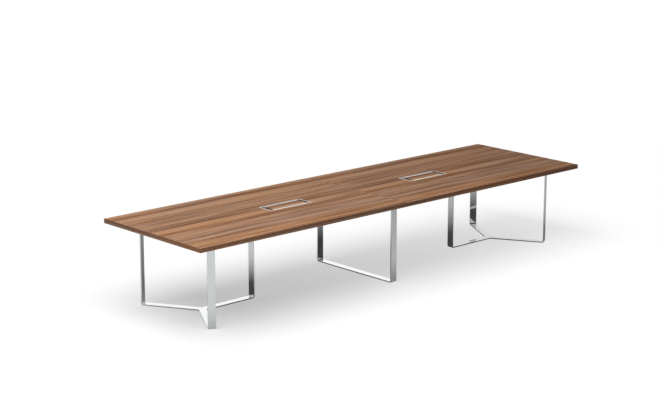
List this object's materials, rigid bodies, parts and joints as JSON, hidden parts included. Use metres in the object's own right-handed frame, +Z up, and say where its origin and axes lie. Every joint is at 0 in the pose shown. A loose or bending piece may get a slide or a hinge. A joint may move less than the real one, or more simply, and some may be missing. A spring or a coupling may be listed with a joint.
{
  "type": "conference table",
  "caption": "Long walnut-faced conference table on chromed flat-bar star bases and a centre U frame, with hinged flip-lid cable boxes in the top.",
  "frame": {"origin": "on the floor under the middle of the top", "axes": "+X along the table's length, +Y across it towards the hinged side of the lids, +Z up"},
  "size_m": [4.45, 1.27, 0.74],
  "materials": {
    "walnut_board": "satin walnut-grain melamine, grain along the table",
    "walnut_edge_band": "satin walnut-grain edge band",
    "chromed_flat_bar": "polished chrome plate",
    "aluminium_profile": "satin anodised",
    "steel_rod": "bright drawn",
    "black_steel": "fine-textured black powder coat",
    "black_plastic": "moulded, fine matt",
    "grey_plastic": "moulded, satin",
    "rubber_strip": "matt extruded",
    "beech_dowel": "fluted, unfinished"
  },
  "bodies": {
    "table": {"left_top_panel": "walnut_board", "left_seam_band": "walnut_edge_band", "left_end_band": "walnut_edge_band", "left_front_band": "walnut_edge_band", "left_rear_band": "walnut_edge_band", "left_inner_leg": "chromed_flat_bar", "left_inner_leg_plate": "black_steel", "left_inner_glide": "black_plastic", "left_front_leg": "chromed_flat_bar", "left_front_leg_plate": "black_steel", "left_front_glide": "black_plastic", "left_rear_leg": "chromed_flat_bar", "left_rear_leg_plate": "black_steel", "left_rear_glide": "black_plastic", "left_box_frame": "aluminium_profile", "left_hinge_rod": "steel_rod", "left_rest_strip": "rubber_strip", "left_cable_tray": "black_steel", "left_socket_strip": "black_plastic", "left_socket_1": "grey_plastic", "left_socket_2": "grey_plastic", "left_socket_3": "grey_plastic", "right_top_panel": "walnut_board", "right_seam_band": "walnut_edge_band", "right_end_band": "walnut_edge_band", "right_front_band": "walnut_edge_band", "right_rear_band": "walnut_edge_band", "right_inner_leg": "chromed_flat_bar", "right_inner_leg_plate": "black_steel", "right_inner_glide": "black_plastic", "right_front_leg": "chromed_flat_bar", "right_front_leg_plate": "black_steel", "right_front_glide": "black_plastic", "right_rear_leg": "chromed_flat_bar", "right_rear_leg_plate": "black_steel", "right_rear_glide": "black_plastic", "right_box_frame": "aluminium_profile", "right_hinge_rod": "steel_rod", "right_rest_strip": "rubber_strip", "right_cable_tray": "black_steel", "right_socket_strip": "black_plastic", "right_socket_1": "grey_plastic", "right_socket_2": "grey_plastic", "right_socket_3": "grey_plastic", "seam_dowel_front": "beech_dowel", "seam_dowel_middle": "beech_dowel", "seam_dowel_rear": "beech_dowel", "centre_frame": "chromed_flat_bar", "centre_front_leg_plate": "black_steel", "centre_front_glide": "black_plastic", "centre_rear_leg_plate": "black_steel", "centre_rear_glide": "black_plastic", "seam_joining_plate": "black_steel"},
    "left_lid": {"left_lid_board": "walnut_board", "left_lid_front_rail": "aluminium_profile", "left_lid_hinge_rail": "aluminium_profile"},
    "right_lid": {"right_lid_board": "walnut_board", "right_lid_front_rail": "aluminium_profile", "right_lid_hinge_rail": "aluminium_profile"}
  },
  "joints": [
    {"name": "left_lid_hinge", "type": "hinge", "parent": "table", "child": "left_lid", "pos_m": [-0.817, 0.061, 0.731], "axis": [-1, 0, 0], "range_deg": [0, 100]},
    {"name": "right_lid_hinge", "type": "hinge", "parent": "table", "child": "right_lid", "pos_m": [0.817, 0.061, 0.731], "axis": [-1, 0, 0], "range_deg": [0, 100]}
  ]
}
